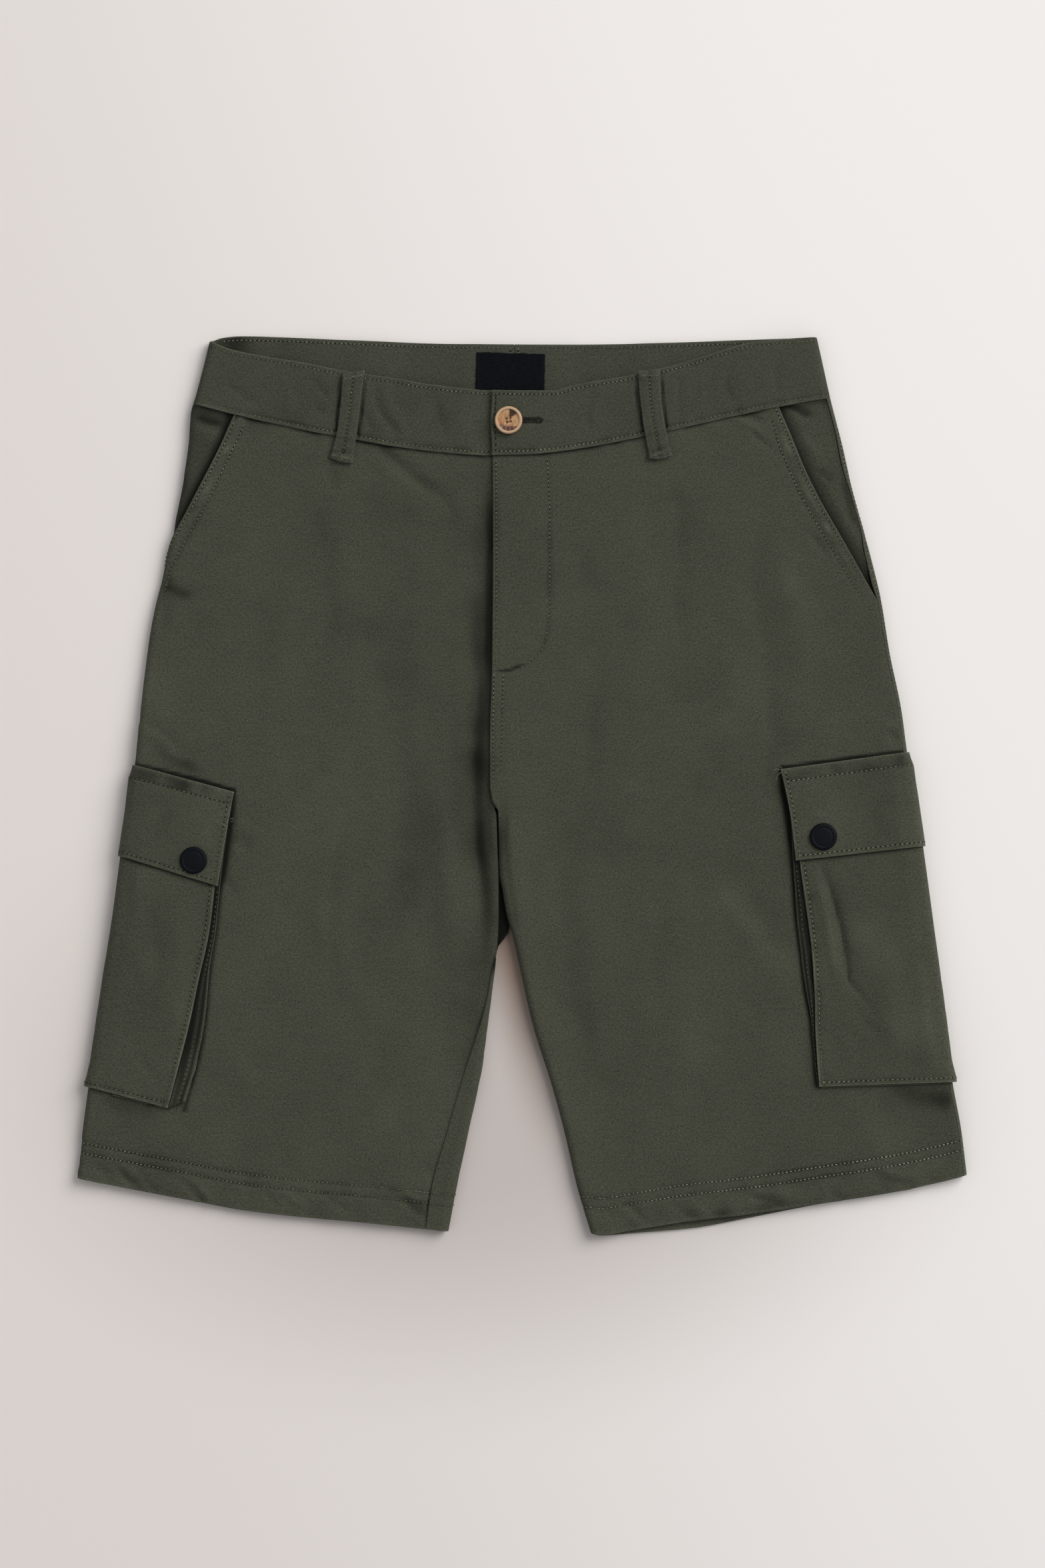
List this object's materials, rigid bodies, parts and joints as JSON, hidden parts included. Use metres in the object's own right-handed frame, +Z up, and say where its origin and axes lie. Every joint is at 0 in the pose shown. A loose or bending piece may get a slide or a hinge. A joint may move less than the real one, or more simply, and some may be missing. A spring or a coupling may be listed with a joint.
{
  "type": "cargo shorts",
  "caption": "Knee-length cotton cargo shorts laid flat, front up, with a buttoned fly, slanted hip pockets and a bellows pocket with a snapped flap on the side of each leg.",
  "frame": {"origin": "middle of the bottom of the laid-out shorts' box, on the surface that they lie on", "axes": "+Z up from the surface, +Y from the hems to the waist, +X to the wearer's left, which is the viewer's right"},
  "size_m": [0.5571, 0.5634, 0.0167],
  "materials": {
    "cloth": "dark olive cotton twill, washed",
    "doubled_cloth": "the same twill folded double and stitched",
    "label": "black woven satin, plain",
    "snap": "black painted cap, satin",
    "button": "brown and tan horn-like resin, polished"
  },
  "bodies": {
    "root": {"front_right": "cloth", "front_left": "cloth", "back_right": "cloth", "back_left": "cloth", "pocket_facing_right": "cloth", "pocket_facing_left": "cloth", "waistband_right": "doubled_cloth", "waistband_left": "doubled_cloth", "belt_loop_front_right": "doubled_cloth", "belt_loop_front_left": "doubled_cloth", "belt_loop_back_right": "doubled_cloth", "belt_loop_back_center": "doubled_cloth", "belt_loop_back_left": "doubled_cloth", "cargo_pocket_right": "cloth", "cargo_pocket_left": "cloth", "cargo_gusset_right": "cloth", "cargo_gusset_left": "cloth", "cargo_flap_right": "cloth", "cargo_flap_left": "cloth", "cargo_snap_right": "snap", "cargo_snap_left": "snap", "waist_button": "button", "label": "label"}
  },
  "joints": []
}
